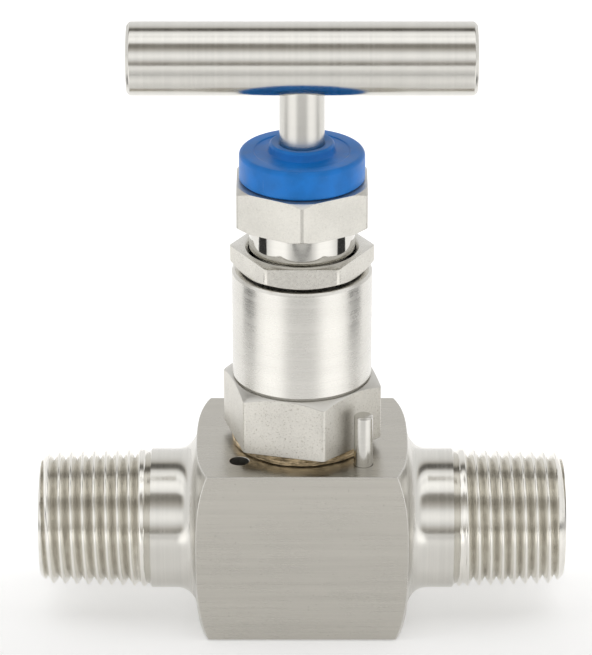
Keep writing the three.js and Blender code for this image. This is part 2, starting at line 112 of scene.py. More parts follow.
SHOULDER_ROWS = 14
FILLET_CENTRE_RADIUS = NECK_RADIUS + FILLET_RADIUS
LEAN = math.asin((FILLET_CENTRE_RADIUS - DOME_CENTRE_RADIUS) / (DOME_RADIUS + FILLET_RADIUS))
DOME_RISE = math.sqrt(DOME_RADIUS ** 2 - (PORT_HEIGHT - DOME_CENTRE_RADIUS) ** 2)
DOME_CENTRE = BODY_HALF_WIDTH - DOME_RISE
FILLET_CENTRE = DOME_CENTRE + (DOME_RADIUS + FILLET_RADIUS) * math.cos(LEAN)


def settings():
    """The sizes and colours in the sidebar."""
    return bpy.context.scene.valve_settings


def steps_between(low, high, value):
    """0 below low, 1 above high and smooth between them."""
    share = min(1, max(0, (value - low) / (high - low)))
    return share * share * (3 - 2 * share)


# Shapes

def break_edges(mesh, edges, width, segments=4):
    """Rounds edges off by a width."""
    bmesh.ops.bevel(
        mesh, geom=edges, offset=width, offset_type="OFFSET", segments=segments,
        profile=0.5, affect="EDGES", material=-1, clamp_overlap=True,
    )


def spun(outline, steps, closed, advance=0.0):
    """Spins (radius, height) corners once round Z, rising by advance at each step."""
    mesh = bmesh.new()
    corners = [mesh.verts.new((corner[0], 0, corner[1])) for corner in outline]
    lines = [mesh.edges.new(pair) for pair in zip(corners, corners[1:])]
    if closed:
        lines.append(mesh.edges.new((corners[-1], corners[0])))
    bmesh.ops.spin(
        mesh, geom=corners + lines, cent=(0, 0, 0), axis=(0, 0, 1), dvec=(0, 0, advance),
        angle=math.tau, steps=steps, use_merge=advance == 0,
    )
    return mesh


def clean(mesh):
    """Merges doubles and faces every side outwards."""
    bmesh.ops.remove_doubles(mesh, verts=mesh.verts[:], dist=MERGE)
    bmesh.ops.recalc_face_normals(mesh, faces=mesh.faces[:])
    return mesh


def turned(outline, steps=ROUND):
    """A lathe shape round Z. A third number in a corner is how far that edge is rounded off."""
    mesh = clean(spun(outline, steps, closed=outline[0][0] > 0))
    for width in sorted({corner[2] for corner in outline if len(corner) > 2}):
        rings = [corner for corner in outline if len(corner) > 2 and corner[2] == width]
        edges = [
            edge for edge in mesh.edges
            if any(all(on_ring(vert.co, ring) for vert in edge.verts) for ring in rings)
        ]
        break_edges(mesh, edges, width)
    return mesh


def on_ring(place, ring):
    """Whether a point lies on the circle that a corner of an outline makes."""
    return abs(place.z - ring[1]) < MERGE and abs(place.xy.length - ring[0]) < MERGE


def move(mesh, x=0.0, y=0.0, z=0.0):
    """Shifts a whole mesh."""
    bmesh.ops.translate(mesh, vec=(x, y, z), verts=mesh.verts[:])
    return mesh


def turn(mesh, degrees, axis):
    """Turns a whole mesh about an axis through the origin."""
    spin = Matrix.Rotation(math.radians(degrees), 3, axis)
    bmesh.ops.rotate(mesh, cent=(0, 0, 0), matrix=spin, verts=mesh.verts[:])
    return mesh


def joined(*meshes):
    """Several meshes in one."""
    whole = bmesh.new()
    for mesh in meshes:
        part = bpy.data.meshes.new("part")
        mesh.to_mesh(part)
        mesh.free()
        whole.from_mesh(part)
        bpy.data.meshes.remove(part)
    return whole


def cut(mesh, tool):
    """Takes the closed tool out of the closed mesh."""
    holders = []
    for shape in (mesh, tool):
        data = bpy.data.meshes.new("stock")
        shape.to_mesh(data)
        shape.free()
        holder = bpy.data.objects.new("stock", data)
        bpy.context.scene.collection.objects.link(holder)
        holders.append(holder)
    modifier = holders[0].modifiers.new("Cut", "BOOLEAN")
    modifier.operation = "DIFFERENCE"
    modifier.solver = "EXACT"
    modifier.object = holders[1]
    result = bmesh.new()
    result.from_object(holders[0], bpy.context.evaluated_depsgraph_get())
    for holder in holders:
        bpy.data.meshes.remove(holder.data)
    if not result.faces:
        raise RuntimeError("a cut left nothing behind")
    bmesh.ops.remove_doubles(result, verts=result.verts[:], dist=MERGE)
    return result


def hexed(mesh, face, across, corner, edge_break):
    """Pulls a turned blank, whose outline stands out beyond its flats, in to six flats.

    The corners of a chamfer slide down it, but never past its end.
    """
    clear = across / 2 - 0.2  # between the round parts and the flats
    outer = [vert for vert in mesh.verts if vert.co.xy.length > clear]
    levels = [vert.co.z for vert in outer]
    low, high = min(levels), max(levels)
    for vert in outer:
        radius = vert.co.xy.length
        from_flat = math.atan2(vert.co.y, vert.co.x) % math.radians(60) - math.radians(30)
        wanted = min(radius, across / 2 / math.cos(from_flat))
        rise = CHAMFER_SLOPE * (corner - max(wanted, face))
        if low + MERGE < vert.co.z < high - MERGE:
            vert.co.z += rise if vert.co.z > (low + high) / 2 else -rise
        vert.co.x *= wanted / radius
        vert.co.y *= wanted / radius
    bmesh.ops.remove_doubles(mesh, verts=mesh.verts[:], dist=MERGE)
    mesh.normal_update()
    pulled = {vert for vert in mesh.verts if vert.co.xy.length > clear}
    edges = [
        edge for edge in mesh.edges
        if pulled.issuperset(edge.verts) and edge.calc_face_angle(0) > math.radians(12)
    ]
    break_edges(mesh, edges, edge_break, segments=2)
    return mesh


def hex_foot(low, face, corner):
    """The chamfer at the lower end of a hex blank's outline."""
    return [(face, low), (corner, low + CHAMFER_SLOPE * (corner - face))]


def hex_head(high, face, corner):
    """The chamfer at the upper end of a hex blank's outline."""
    return [(corner, high - CHAMFER_SLOPE * (corner - face)), (face, high)]


def arc(centre, radius, start, end, steps):
    """Corners on an arc, in degrees from the radius direction."""
    angles = [math.radians(start + (end - start) * step / steps) for step in range(steps + 1)]
    return [
        (centre[0] + radius * math.cos(angle), centre[1] + radius * math.sin(angle))
        for angle in angles
    ]


def paint(mesh, index, chosen):
    """Gives one of a piece's finishes to the faces that a test chooses."""
    mesh.normal_update()
    for face in mesh.faces:
        if chosen(face.calc_center_median(), face.normal):
            face.material_index = index


def finish_piece(mesh, name, body, nodes, finishes):
    """Makes the mesh an object of the frame that stands for its CAD nodes."""
    bmesh.ops.scale(mesh, vec=(MM, MM, MM), verts=mesh.verts[:])
    data = bpy.data.meshes.new(name)
    mesh.to_mesh(data)
    mesh.free()
    data.shade_smooth()
    data.set_sharp_from_angle(angle=SHARP_ANGLE)
    for finish in finishes:
        data.materials.append(finish)
    piece = bpy.data.objects.new(name, data)
    bpy.context.scene.collection.objects.link(piece)
    weighted = piece.modifiers.new("Flat faces", "WEIGHTED_NORMAL")
    weighted.keep_sharp = True
    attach(piece, body)
    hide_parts(*nodes)


# Finishes

class Wire:
    """A socket in a node tree. Sums on wires add the Math nodes that work them out."""

    def __init__(self, socket):
        self.socket = socket

    def node(self, kind, options=None, values=None, output=0):
        """Adds a node: its options first, then the values or links of its sockets."""
        tree = self.socket.id_data
        made = tree.nodes.new(kind)
        for option, value in (options or {}).items():
            if option == "stops":
                set_stops(made.color_ramp, value)
            else:
                setattr(made, option, value)
        for name, value in (values or {}).items():
            if isinstance(value, Wire):
                tree.links.new(value.socket, made.inputs[name])
            else:
                made.inputs[name].default_value = value
        return Wire(made.outputs[output])

    def math(self, operation, first, second=0.0):
        """One Math node."""
        return self.node("ShaderNodeMath", {"operation": operation}, {0: first, 1: second})

    def __add__(self, other):
        return self.math("ADD", self, other)

    def __sub__(self, other):
        return self.math("SUBTRACT", self, other)

    def __rsub__(self, other):
        return self.math("SUBTRACT", other, self)

    def __mul__(self, other):
        return self.math("MULTIPLY", self, other)

    def __truediv__(self, other):
        return self.math("DIVIDE", self, other)

    def between(self, low, high, start=0.0, end=1.0):
        """Smoothly maps this wire's range from low to high on to start to end."""
        return self.node(
            "ShaderNodeMapRange", {"interpolation_type": "SMOOTHSTEP"},
            {"Value": self, "From Min": low, "From Max": high, "To Min": start, "To Max": end},
        )

    def axes(self):
        """The three numbers of a vector."""
        split = self.node("ShaderNodeSeparateXYZ", None, {0: self})
        sockets = split.socket.node.outputs
        return [Wire(sockets[axis]) for axis in ("X", "Y", "Z")]

    def vector(self, x=0.0, y=0.0, z=0.0):
        """Three numbers as one vector."""
        return self.node("ShaderNodeCombineXYZ", None, {"X": x, "Y": y, "Z": z})

    def scaled(self, x, y, z):
        """A vector times three numbers."""
        values = {0: self, 1: (x, y, z)}
        return self.node("ShaderNodeVectorMath", {"operation": "MULTIPLY"}, values)

    def grain(self, scale, detail=2.0, rough=0.5):
        """Noise of a number of features to the millimetre."""
        values = {"Vector": self, "Scale": scale, "Detail": detail, "Roughness": rough}
        return self.node("ShaderNodeTexNoise", None, values)

    def tint(self, first, second):
        """A colour between two, by this wire."""
        options = {"data_type": "RGBA"}
        return self.node("ShaderNodeMix", options, {0: self, 6: first, 7: second}, output=2)


def set_stops(ramp, stops):
    """Sets a colour ramp's stops from (place, brightness) pairs."""
    for element in list(ramp.elements)[1:]:
        ramp.elements.remove(element)
    for index, (place, bright) in enumerate(stops):
        element = ramp.elements[0] if index == 0 else ramp.elements.new(place)
        element.position = place
        element.color = (bright, bright, bright, 1)


def shade(colour, share):
    """A colour made lighter or darker, as four numbers."""
    return tuple(min(1, part * share) for part in colour) + (1,)


def new_finish(name):
    """A material, its shader, and a wire with the place on the piece in millimetres."""
    material = bpy.data.materials.new(name)
    material.use_nodes = True
    tree = material.node_tree
    shader = tree.nodes["Principled BSDF"]
    place = Wire(tree.nodes.new("ShaderNodeTexCoord").outputs["Object"])
    return material, shader, place.scaled(1 / MM, 1 / MM, 1 / MM)


def feed(shader, name, wire):
    """Links a wire to one of the shader's sockets."""
    shader.id_data.links.new(wire.socket, shader.inputs[name])


def raise_bump(shader, height, distance):
    """Raises the surface by a height from 0 to 1 times a distance in millimetres."""
    values = {"Height": height, "Distance": distance * MM, "Strength": 1.0}
    feed(shader, "Normal", height.node("ShaderNodeBump", None, values))


def lathe_lines(place, axis, centre=(0.0, 0.0)):
    """A vector that changes along and across an axis and stays the same round it."""
    x, y, z = place.axes()
    if axis == "X":
        along, side, up = x, y, z - PORT_HEIGHT
    elif axis == "bar":
        along, side, up = x, y, z - BAR_HEIGHT
    else:
        along, side, up = z, x - centre[0], y - centre[1]
    flat = place.vector(side, up)
    radius = flat.node("ShaderNodeVectorMath", {"operation": "LENGTH"}, {0: flat}, output="Value")
    return place.vector(along, radius)


def turned_steel(
    name, rough, axis="Z", lines=3.0, depth=0.0015, centre=(0.0, 0.0), dull_beyond=None, tone=1.0,
):
    """Lathe-turned steel: fine lines round the axis, duller beyond a radius if one is given."""
    material, shader, place = new_finish(name)
    colour = shade(settings().turned_steel, tone)[:3]
    rings = lathe_lines(place, axis, centre)
    fine = rings.grain(lines, detail=4, rough=0.7)
    broad = rings.grain(lines * 0.22, detail=1)
    smudge = place.grain(0.35, detail=3, rough=0.6)
    tone = fine * 0.5 + broad * 0.3 + smudge * 0.2
    feed(shader, "Base Color", tone.between(0.3, 0.7).tint(shade(colour, 0.94), shade(colour, 1.05)))
    roughness = (fine * 0.6 + smudge * 0.4).between(0.3, 0.7, rough * 0.82, rough * 1.2)
    if dull_beyond:
        radius = rings.axes()[1]
        roughness = roughness + radius.between(dull_beyond, dull_beyond + 1.4) * 0.13
    feed(shader, "Roughness", roughness)
    shader.inputs["Metallic"].default_value = 1
    raise_bump(shader, fine * 0.6 + broad * 0.4, depth)
    return material


def threaded_steel(name, colour, rough):
    """A cut pipe thread, its steel lightened as painted light against the shade in its grooves; darker,
    browner and duller towards the roots.
    """
    material, shader, place = new_finish(name)
    rings = lathe_lines(place, "X")
    along, radius, _ = rings.axes()
    crest = (PIPE_END - along.math("ABSOLUTE", along)) * THREAD_SLOPE + THREAD_END_RADIUS
    # Darker and browner towards the roots, in patches, by depth below the crest.
    root = (crest - radius).between(0.1, 1.25)
    fine = rings.grain(3.0, detail=4, rough=0.7)
    root_patches = place.grain(0.5, detail=4, rough=0.6).between(0.3, 0.7, 0.0, 0.16)
    # Painted light: the thread's steel is made lighter than the turned steel, lifting the shade that
    # falls in its grooves.
    bright = fine.between(0.3, 0.7).tint(shade(colour, 1.16), shade(colour, 1.28))
    brown = (0.26, 0.225, 0.18, 1)
    feed(shader, "Base Color", (root * root_patches).tint(bright, brown))
    feed(shader, "Roughness", root.between(0, 1, rough, rough + 0.08))
    shader.inputs["Metallic"].default_value = 1
    raise_bump(shader, fine, 0.003)
    return material


def brushed_steel(name, colour, rough):
    """Bar-stock steel, rubbed along the pipe: long scratches, cloudy tone and small pits."""
    material, shader, place = new_finish(name)
    stretch = (0.06, 3.2, 3.2)
    strokes = place.scaled(*stretch).grain(1.0, detail=5, rough=0.75)
    broad = place.scaled(*(part * 0.28 for part in stretch)).grain(1.0, detail=2)
    cloud = place.grain(0.16, detail=3, rough=0.55)
    pits = place.grain(2.6, detail=2).between(0.68, 0.76)
    tone = (strokes * 0.45 + broad * 0.3 + cloud * 0.25).between(0.32, 0.68)
    clean_metal = tone.tint(shade(colour, 0.93), shade(colour, 1.05))
    feed(shader, "Base Color", (pits * 0.35).tint(clean_metal, shade(colour, 0.45)))
    roughness = (strokes * 0.6 + cloud * 0.4).between(0.3, 0.7, rough * 0.8, rough * 1.25)
    feed(shader, "Roughness", roughness)
    shader.inputs["Metallic"].default_value = 1
    raise_bump(shader, strokes * 0.7 + broad * 0.3, 0.004)
    return material


def speckled_steel(name, colour, rough, pit_share=0.5, depth=0.012, pits_from=0.6, coarse=2.4):
    """Drawn or blasted steel: an even grain with scattered dark, warm pits."""
    material, shader, place = new_finish(name)
    grain = place.grain(coarse, detail=5, rough=0.65)
    fine = place.grain(7.0, detail=3, rough=0.7)
    cloud = place.grain(0.22, detail=2)
    pits = place.grain(coarse * 1.4, detail=3, rough=0.6).between(pits_from, pits_from + 0.09)
    tone = (grain * 0.4 + fine * 0.35 + cloud * 0.25).between(0.34, 0.66)
    clean_metal = tone.tint(shade(colour, 0.88), shade(colour, 1.09))
    warm = (colour[0] * 0.36, colour[1] * 0.31, colour[2] * 0.24, 1)
    feed(shader, "Base Color", (pits * pit_share).tint(clean_metal, warm))
    feed(shader, "Roughness", (grain + pits * 0.5).between(0.3, 0.9, rough * 0.85, rough * 1.35))
    shader.inputs["Metallic"].default_value = 1
    raise_bump(shader, grain * 0.5 + fine * 0.4 - pits * 0.6, depth)
    return material


def moulded_plastic(name, colour):
    """Moulded plastic: an even satin skin with faint clouding, scuffs and dust."""
    material, shader, place = new_finish(name)
    cloud = place.grain(0.3, detail=3)
    scuffs = place.scaled(1.4, 1.4, 0.16).grain(1.0, detail=3, rough=0.7).between(0.66, 0.78)
    dust = place.grain(3.2, detail=2).between(0.72, 0.8)
    skin = cloud.between(0.3, 0.7).tint(shade(colour, 0.9), shade(colour, 1.1))
    pale = tuple(0.6 * part + 0.35 for part in colour) + (1,)
    feed(shader, "Base Color", (scuffs * 0.1 + dust * 0.18).tint(skin, pale))
    feed(shader, "Roughness", (cloud + scuffs * 0.3).between(0.2, 0.9, 0.3, 0.5))
    shader.inputs["Specular IOR Level"].default_value = 0.25
    raise_bump(shader, place.grain(2.0, detail=4), 0.006)
    return material


def soft_copper(name, colour):
    """Squeezed, heat-stained copper: blotches from brown to gold, with torn lines round it."""
    material, shader, place = new_finish(name)
    x, y, z = place.axes()
    blotch = place.vector(x, y, z * 3).grain(0.55, detail=4, rough=0.65)
    torn = place.scaled(0.5, 0.5, 4.5).grain(1.0, detail=4, rough=0.7)
    dark = shade(colour, 0.4)
    gold = shade(colour, 1.4)
    feed(shader, "Base Color", (blotch * 0.6 + torn * 0.4).between(0.38, 0.62).tint(dark, gold))
    feed(shader, "Roughness", torn.between(0.3, 0.7, 0.25, 0.5))
    shader.inputs["Metallic"].default_value = 0.9
    raise_bump(shader, torn, 0.08)
    return material


def plain_polymer(name, colour, rough, grain_height):
    """Pressed polymer or rubber: a quiet mottled skin."""
    material, shader, place = new_finish(name)
    grain = place.grain(1.6, detail=4)
    feed(shader, "Base Color", grain.between(0.3, 0.7).tint(shade(colour, 0.92), shade(colour, 1.06)))
    feed(shader, "Roughness", grain.between(0.3, 0.7, rough * 0.85, rough * 1.15))
    raise_bump(shader, grain, grain_height)
    return material


# Body

def square_reach(angle):
    """How far the square bar reaches from the pipe axis at an angle round it."""
    return PORT_HEIGHT / max(abs(math.cos(angle)), abs(math.sin(angle)))


def shoulder_place(start_radius, share):
    """(radius, distance) a share of the way down the end of the bar, over dome and fillet."""
    start = math.acos((start_radius - DOME_CENTRE_RADIUS) / DOME_RADIUS)
    quarter = math.pi / 2
    over_dome = DOME_RADIUS * (quarter - LEAN - start)
    walked = share * (over_dome + FILLET_RADIUS * (quarter - LEAN))
    if walked < over_dome:
        angle = start + walked / DOME_RADIUS
        radius = DOME_CENTRE_RADIUS + DOME_RADIUS * math.cos(angle)
        return radius, DOME_CENTRE + DOME_RADIUS * math.sin(angle)
    angle = quarter + LEAN + (walked - over_dome) / FILLET_RADIUS
    radius = FILLET_CENTRE_RADIUS + FILLET_RADIUS * math.cos(angle)
    return radius, FILLET_CENTRE - FILLET_RADIUS * math.sin(angle)


def bar_place(row, angle):
    """(radius, distance) of one row of the bar, counted from its middle."""
    wide = square_reach(angle)
    if row <= 1:
        return wide, row * shoulder_place(wide, 0)[1]
    if row <= 1 + SHOULDER_ROWS:
        return shoulder_place(wide, (row - 1) / SHOULDER_ROWS)
    return [(NECK_RADIUS, NECK_END), (RELIEF_RADIUS, RELIEF_END)][row - 2 - SHOULDER_ROWS]


def bar_stock():
    """The square bar with its domed, filleted and necked ends, along Z."""
    rows = SHOULDER_ROWS + 3
    mesh = spun([(1, row) for row in range(-rows, rows + 1)], BODY_ROUND, closed=False)
    clean(mesh)
    arrises = []
    for edge in mesh.edges:
        first, second = (vert.co for vert in edge.verts)
        round_ring = abs(first.z - second.z) < MERGE and abs(abs(first.z) - 1) < MERGE
        on_diagonal = abs(abs(first.x) - abs(first.y)) < MERGE
        along = abs(first.z - second.z) > MERGE and max(abs(first.z), abs(second.z)) < 1 + MERGE
        if round_ring or (on_diagonal and along):
            arrises.append(edge)
    for vert in mesh.verts:
        angle = math.atan2(vert.co.y, vert.co.x)
        row = round(vert.co.z)
        radius, distance = bar_place(abs(row), angle)
        vert.co = (radius * math.cos(angle), radius * math.sin(angle), math.copysign(distance, row))
    mesh.normal_update()
    break_edges(mesh, arrises, settings().edge_break / MM, segments=3)
    return mesh


def pipe_thread():
    """One pipe end along +Z: the helix runs past both ends and is gathered in to their rings."""
    depth = settings().thread_depth / MM
    base = 20  # a radius outside the thread, from which the depth cut is counted
    outline = [(base - share, height * THREAD_PITCH + THREAD_START) for height, share in THREAD_FORM]
    one_turn = spun(outline, BODY_ROUND, closed=False, advance=THREAD_PITCH / BODY_ROUND)
    mesh = joined(*(move(one_turn.copy(), z=count * THREAD_PITCH) for count in range(THREAD_TURNS)))
    one_turn.free()
    for vert in mesh.verts:
        radius = vert.co.xy.length
        distance = min(PIPE_END, max(RELIEF_END, vert.co.z))
        crest = THREAD_END_RADIUS + (PIPE_END - distance) * THREAD_SLOPE
        deep = depth * steps_between(0.5, 2.1, distance - RELIEF_END)
        relief = RELIEF_RADIUS + distance - RELIEF_END
        lead_in = PIPE_END_RADIUS + PIPE_END - distance
        wanted = min(relief, lead_in, crest - deep * (base - radius))
        vert.co = (vert.co.x * wanted / radius, vert.co.y * wanted / radius, distance)
    return clean(mesh)


def port_bore():
    """The end face and threaded bore of a pipe end, down to the drill's tip."""
    chamfer = 0.4
    outline = [
        (PIPE_END_RADIUS, PIPE_END), (PORT_BORE_RADIUS + chamfer, PIPE_END),
        (PORT_BORE_RADIUS, PIPE_END - chamfer), (PORT_BORE_RADIUS, PORT_BORE_END),
        (0, PORT_DRILL_TIP),
    ]
    return spun(outline, BODY_ROUND, closed=False)


def passage(start, end, radius):
    """A round drill between two points above the pipe axis."""
    line = Vector(end) - Vector(start)
    drill = turned([(0, 0), (radius, 0), (radius, line.length), (0, line.length)], 48)
    spin = line.to_track_quat("Z", "Y").to_matrix()
    bmesh.ops.rotate(drill, cent=(0, 0, 0), matrix=spin, verts=drill.verts[:])
    return move(drill, *start)


def machined_body():
    """The body: bar, pipe ends, ports, passages, seat, chamber and the two dowel holes."""
    right = joined(pipe_thread(), port_bore())
    left = turn(right.copy(), 180, "X")
    mesh = clean(joined(bar_stock(), right, left))
    turn(mesh, 90, "Y")
    move(mesh, z=PORT_HEIGHT)
    above = BODY_SIDE + 1
    seat, seat_height = 2.25, 18
    chamber, chamber_top = 4.8, 22
    bonnet_hole = turned([
        (0, PORT_HEIGHT), (seat, PORT_HEIGHT), (seat, seat_height - 0.4), (2.65, seat_height),
        (chamber, seat_height), (chamber, chamber_top), (10, chamber_top), (10, BODY_SIDE - 0.2),
        (10.3, BODY_SIDE + 0.1), (10.3, above), (0, above),
    ])
    floor = BODY_SIDE - DOWEL_HOLE_DEPTH
    dowel_hole = turned([
        (0, floor), (1.5, floor), (1.5, BODY_SIDE - 0.06), (1.57, BODY_SIDE + 0.01), (1.57, above),
        (0, above),
    ], 64)
    spare_hole = move(dowel_hole.copy(), *SPARE_HOLE_PLACE)
    upright = joined(bonnet_hole, move(dowel_hole, *DOWEL_PLACE), spare_hole)
    mesh = cut(mesh, upright)
    inlet = passage((seat, 0, PORT_HEIGHT), (-PORT_BORE_END - 1, 0, PORT_HEIGHT), 2.5)
    outlet = passage((18.5, 0, 13.8), (4, 0, 19.6), 1.7)
    mesh = cut(mesh, joined(inlet, outlet))
    near_flat = PORT_HEIGHT - 0.02
    near_edge = PORT_HEIGHT - 0.2

    def out_from_axis(centre):
        return max(abs(centre.y), abs(centre.z - PORT_HEIGHT))

    def is_edge(centre, normal):
        return abs(centre.x) < 21 and out_from_axis(centre) > near_edge

    def is_flat(centre, normal):
        level_side = max(abs(normal.y), abs(normal.z)) > 0.999
        return level_side and out_from_axis(centre) > near_flat

    def is_thread(centre, normal):
        return abs(centre.x) > RELIEF_END and math.hypot(centre.y, centre.z - PORT_HEIGHT) > 6

    paint(mesh, 2, is_edge)
    paint(mesh, 1, is_flat)
    paint(mesh, 3, is_thread)
    return mesh


class ValveBodyOperator(bpy.types.Operator):
    """Builds the machined body with its two threaded pipe ends"""

    bl_idname = "valve.body"
    bl_label = "Machined body"

    def execute(self, context):
        colours = context.scene.valve_settings
        finishes = [
            turned_steel(
                "turned body", 0.17, "X", lines=2.2, depth=0.0022, dull_beyond=NECK_RADIUS + 0.2,
            ),
            brushed_steel("brushed bar", colours.bar_steel, 0.29),
            turned_steel("broken edge", 0.34, "X", tone=0.92),
            threaded_steel("pipe thread", colours.turned_steel, 0.18),
        ]
        finish_piece(
            machined_body(), "machined_body", "valve", ["valve_body"], finishes,
        )
        return {"FINISHED"}


# Bonnet, its sealing ring and dowel

HEX_TURN = -15
BARREL_RADIUS = 10.73


def sealing_ring():
    """The squeezed copper ring: its outer side is pushed in and out all the way round."""
    low, high = level("bonnet_gasket")
    outer = reach("bonnet_gasket")
    middle = (low + high) / 2
    mesh = turned([
        (outer - 0.9, low), (outer - 0.3, low), (outer - 0.05, low + 0.16), (outer, middle - 0.1),
        (outer - 0.12, middle + 0.04), (outer - 0.02, high - 0.2), (outer - 0.25, high),
        (outer - 0.9, high),
    ])
    for vert in mesh.verts:
        angle = math.atan2(vert.co.y, vert.co.x)
        if vert.co.xy.length > outer - 0.5:
            wave = math.sin(5 * angle + 0.7) + 0.6 * math.sin(13 * angle + vert.co.z * 5)
            wave += 0.4 * math.sin(29 * angle - vert.co.z * 9)
            share = 1 - 0.009 * (1 + wave * 0.5)
            vert.co.x *= share
            vert.co.y *= share
    return mesh


class ValveSealingRingOperator(bpy.types.Operator):
    """Builds the copper sealing ring under the bonnet"""

    bl_idname = "valve.sealing_ring"
    bl_label = "Sealing ring"

    def execute(self, context):
        finishes = [soft_copper("stained copper", context.scene.valve_settings.copper)]
        finish_piece(
            sealing_ring(), "sealing_ring", "valve", ["bonnet_gasket"], finishes,
        )
        return {"FINISHED"}


def bonnet():
    """The bonnet: threaded nose, hex and barrel, bored for spindle, packing and gland."""
    low, top = level("bonnet")
    hex_low, hex_high = 29.9, 39.45
    face, corner, across = 10.85, 12.6, 22
    mesh = turned([
        (5.3, low), (9.2, low), (9.7, low + 0.5), (9.7, hex_low), (corner, hex_low),
        *hex_head(hex_high, face, corner),
        (10.3, hex_high), (10.3, hex_high + 0.3), (BARREL_RADIUS, hex_high + 0.35, 0.12),
        (BARREL_RADIUS, top - 0.4), (BARREL_RADIUS - 0.4, top, 0.08), (8.3, top, 0.12), (8.3, 50),
        (6, 50), (6, 43), (3.725, 43), (3.725, 41.5), (5.3, 40),
    ], HEX_ROUND)
    hexed(mesh, face, across, corner, 0.09)
    turn(mesh, HEX_TURN, "Z")

    def is_flat(centre, normal):
        return abs(normal.z) < 0.3 and hex_low < centre.z < hex_high and centre.xy.length > face

    paint(mesh, 1, lambda centre, normal: centre.z < hex_high + 0.3)
    paint(mesh, 2, is_flat)
    return mesh


class ValveBonnetOperator(bpy.types.Operator):
    """Builds the bonnet: its hex and its barrel"""

    bl_idname = "valve.bonnet"
    bl_label = "Bonnet"

    def execute(self, context):
        colours = context.scene.valve_settings
        finishes = [
            turned_steel("turned barrel", 0.27, lines=1.8, depth=0.0016),
            turned_steel("bonnet chamfer", 0.34, lines=2.4, depth=0.003, tone=0.86),
            speckled_steel(
                "drawn hex", colours.hex_steel, 0.42, pit_share=0.42, pits_from=0.58, coarse=2.9,
            ),
        ]
        finish_piece(
            bonnet(), "bonnet_hex_and_barrel", "valve", ["bonnet"], finishes,
        )
        return {"FINISHED"}


class ValveDowelOperator(bpy.types.Operator):
    """Builds the dowel that keeps the bonnet from turning"""

    bl_idname = "valve.dowel"
    bl_label = "Locking dowel"

    def execute(self, context):
        low, high = level("bonnet_lock_pin")
        radius = DOWEL_RADIUS
        mesh = turned([
            (0, low), (radius - 0.25, low), (radius, low + 0.25), (radius, high - 0.22, 0.06),
            (radius - 0.22, high, 0.06), (0, high),
        ], 96)
        move(mesh, *DOWEL_PLACE)
        steel = turned_steel(
            "ground dowel", 0.2, lines=2.5, depth=0.0004, centre=DOWEL_PLACE, tone=0.88,
        )
        finish_piece(
            mesh, "locking_dowel", "valve", ["bonnet_lock_pin"], [steel],
        )
        return {"FINISHED"}


# Packing

PACKING_BORE_RADIUS = 3.72


def packing_ring(node, valley, ridge):
    """A packing ring in its CAD node's place: the depth of its valley and height of its ridge."""
    low, high = level(node)
    inner, outer = PACKING_BORE_RADIUS, reach(node)
    middle = (inner + outer) / 2
    if valley or ridge:
        crest = [(middle, high, 0.1)] if ridge else []
        return turned([
            (inner, low), (middle, low + valley, 0.1), (outer, low), (outer, high - ridge), *crest,
            (inner, high - ridge),
        ], 96)
    edge = 0.12
    return turned([
        (inner, low, edge), (outer, low, edge), (outer, high, edge), (inner, high, edge),
    ], 96)


class ValvePackingOperator(bpy.types.Operator):
    """Builds the packing set: washer, V rings and the bush that presses on them"""

    bl_idname = "valve.packing"
    bl_label = "Packing set"

    def execute(self, context):
        colours = context.scene.valve_settings
        steel = turned_steel("turned bush", 0.25)
        white = plain_polymer("pressed packing", colours.packing, 0.45, 0.01)
        rise = 0.7
        rings = [
            ("base_washer", "packing_washer", 0, 0, steel),
            ("lower_v_ring", "packing_bottom_adapter", 0, rise, white),
            ("chevron_ring_1", "packing_ring_1", rise, rise, white),
            ("chevron_ring_2", "packing_ring_2", rise, rise, white),
            ("chevron_ring_3", "packing_ring_3", rise, rise, white),
            ("push_bush", "gland_bush", 0, 0, steel),
            ("upper_v_ring", "packing_top_adapter", rise, 0, white),
        ]
        for name, node, valley, ridge, finish in rings:
            slot = "gland_steel" if finish == steel else "packing_white"
            mesh = packing_ring(node, valley, ridge)
            finish_piece(mesh, name, "valve", [node], [finish])
        return {"FINISHED"}


# Gland, lock nut and cap

def jam_nut():
    """The thin hex nut that locks the gland."""
    low, high = level("gland_lock_nut")
    bore, face, corner, across = 8.3, 9.5, 11, 19.3
    mesh = turned([
        (bore, low + 0.3), (bore + 0.3, low), *hex_foot(low, face, corner), (corner, high),
        (bore + 0.45, high, 0.05), (bore, high - 0.45),
    ], HEX_ROUND)
    hexed(mesh, face, across, corner, 0.1)
    paint(mesh, 1, lambda centre, normal: abs(normal.z) < 0.3 and centre.xy.length > face)
    return mesh


class ValveJamNutOperator(bpy.types.Operator):
    """Builds the nut that locks the gland"""

    bl_idname = "valve.jam_nut"
    bl_label = "Lock nut"

    def execute(self, context):
        colours = context.scene.valve_settings
        finishes = [
            turned_steel("nut face", 0.26, lines=2.2, depth=0.002),
            speckled_steel("nut flat", colours.hex_steel, 0.3, pit_share=0.12, depth=0.004),
        ]
        finish_piece(
            jam_nut(), "jam_nut", "lock_nut", ["gland_lock_nut"], finishes,
        )
        return {"FINISHED"}


